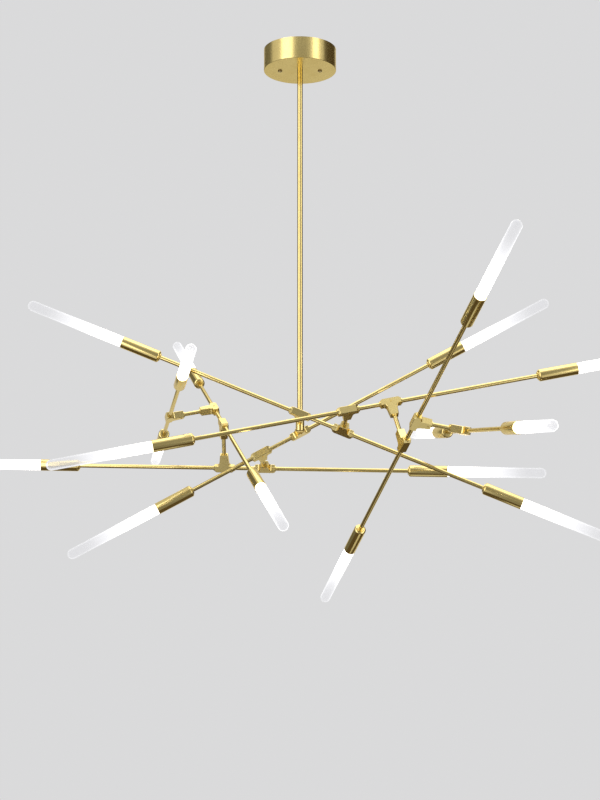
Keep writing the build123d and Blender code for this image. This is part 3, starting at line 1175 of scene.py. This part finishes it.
class CHANDELIER_OT_set_stage(bpy.types.Operator):
    """Set the room's light, the floor, the softboxes, the cards and the camera"""

    bl_idname = "chandelier.set_stage"
    bl_label = "Set Stage"

    def execute(self, context):
        look = context.scene.stage_look
        self.room(context, look)
        self.floor(look)
        for softbox in SOFTBOXES:
            self.softbox(*softbox)
        for card in CARDS:
            self.card(*card)
        self.camera(context)
        return {"FINISHED"}

    def room(self, context, look):
        """A plain pale room: its colour shows to the camera, to metal and through glass."""
        world = bpy.data.worlds.new("pale room")
        world.use_nodes = True
        context.scene.world = world
        context.scene.view_settings.view_transform = "Standard"
        graph = Graph(world.node_tree)
        background = world.node_tree.nodes["Background"]
        strength = graph.math("MULTIPLY_ADD", graph.seen_directly(), 1.0 - look.ambient, look.ambient)
        graph.feed(background.inputs["Color"], opaque(look.background))
        graph.feed(background.inputs["Strength"], strength)

    def board(self, name, corners, material):
        """A flat board with four corners, for the stage."""
        mesh = bpy.data.meshes.new(name)
        mesh.from_pydata(corners, [], [(0, 1, 2, 3)])
        mesh.materials.append(material)
        board = bpy.data.objects.new(name, mesh)
        bpy.context.scene.collection.objects.link(board)
        return board

    def floor(self, look):
        """A wide pale floor under the chandelier."""
        finish = Finish("pale floor")
        grain = finish.noise(finish.object_place(), FLOOR_WAVES)
        finish.surface(
            {
                "Base Color": finish.mix(grain, opaque(FLOOR_SHADE), opaque(FLOOR_WHITE)),
                "Roughness": FLOOR_ROUGHNESS,
                "Emission Color": opaque(look.background),
                "Emission Strength": finish.math("MULTIPLY", finish.seen_directly(), FLOOR_LIFT),
            }
        )
        far, low = FLOOR_REACH, -look.floor_depth
        corners = [(-far, -far, low), (far, -far, low), (far, far, low), (-far, far, low)]
        floor = self.board("floor", corners, finish.material)

    def softbox(self, name, place, target, width, height, radiance):
        """A rectangular lamp at a place, facing a target."""
        data = bpy.data.lights.new(name, "AREA")
        data.shape = "RECTANGLE"
        data.size, data.size_y = width, height
        data.energy = radiance * math.pi * width * height
        lamp = bpy.data.objects.new(name, data)
        lamp.location = place
        lamp.rotation_euler = (Vector(target) - Vector(place)).to_track_quat("-Z", "Y").to_euler()
        lamp.visible_transmission = False
        bpy.context.scene.collection.objects.link(lamp)

    def card(self, name, lowest, highest, radiance, colour):
        """A dim card beside the set, which only metal and gloss mirror. One with no height lies flat."""
        finish = Finish(name)
        dimmest, brightest = (1.0 - FELT_SPREAD) * radiance, (1.0 + FELT_SPREAD) * radiance
        felt = finish.noise(finish.object_place(), FELT_WAVES)
        finish.surface(
            {
                "Base Color": opaque(BLACK),
                "Specular IOR Level": 0.0,
                "Emission Color": opaque(colour),
                "Emission Strength": finish.between(felt, dimmest, brightest, *FELT_RANGE),
            }
        )
        (x0, y0, z0), (x1, y1, z1) = lowest, highest
        if z0 == z1:
            corners = [(x0, y0, z0), (x1, y0, z0), (x1, y1, z0), (x0, y1, z0)]
        else:
            corners = [(x0, y0, z0), (x1, y1, z0), (x1, y1, z1), (x0, y0, z1)]
        card = self.board(name, corners, finish.material)
        card.visible_camera = False
        card.visible_diffuse = False
        card.visible_transmission = False
        card.visible_shadow = False

    def camera(self, context):
        """The photograph's viewpoint, a little below the arms and looking up."""
        data = bpy.data.cameras.new("camera")
        data.sensor_width = SENSOR_WIDTH
        data.lens = LENS
        camera = bpy.data.objects.new("camera", data)
        camera.location = CAMERA_PLACE
        camera.rotation_euler = (CAMERA_TILT, 0.0, 0.0)
        bpy.context.scene.collection.objects.link(camera)
        context.scene.camera = camera


class CHANDELIER_PT_tools(bpy.types.Panel):
    """The chandelier's steps and settings"""

    bl_idname = "CHANDELIER_PT_tools"
    bl_label = "Sputnik Chandelier"
    bl_space_type = "VIEW_3D"
    bl_region_type = "UI"
    bl_category = "Chandelier"

    def draw(self, context):
        layout = self.layout
        for group_name in SETTINGS:
            group = getattr(context.scene, group_name)
            box = layout.box()
            box.label(text=group_name.replace("_", " ").title())
            for setting in group.__annotations__:
                box.prop(group, setting)
        for operator in STEPS:
            layout.operator(operator.bl_idname)


STEPS = (
    CHANDELIER_OT_finish_castings,
    CHANDELIER_OT_draw_tubes,
    CHANDELIER_OT_turn_cups,
    CHANDELIER_OT_blow_glass,
    CHANDELIER_OT_fit_bulbs,
    CHANDELIER_OT_drive_grub_screws,
    CHANDELIER_OT_set_stage,
)
SETTINGS = {
    "lamp_sizes": LampSizes,
    "brass_look": BrassLook,
    "light_look": LightLook,
    "stage_look": StageLook,
}


def register():
    """Registers the settings, the operators and the panel."""
    for group_name, group in SETTINGS.items():
        bpy.utils.register_class(group)
        setattr(bpy.types.Scene, group_name, PointerProperty(type=group))
    for operator in STEPS:
        bpy.utils.register_class(operator)
    bpy.utils.register_class(CHANDELIER_PT_tools)


def unregister():
    """Takes back what register did."""
    bpy.utils.unregister_class(CHANDELIER_PT_tools)
    for operator in reversed(STEPS):
        bpy.utils.unregister_class(operator)
    for group_name, group in SETTINGS.items():
        delattr(bpy.types.Scene, group_name)
        bpy.utils.unregister_class(group)


def main():
    """Make every piece in turn."""
    register()
    for operator in STEPS:
        family, name = operator.bl_idname.split(".")
        getattr(getattr(bpy.ops, family), name)()


if __name__ == "__main__":
    main()
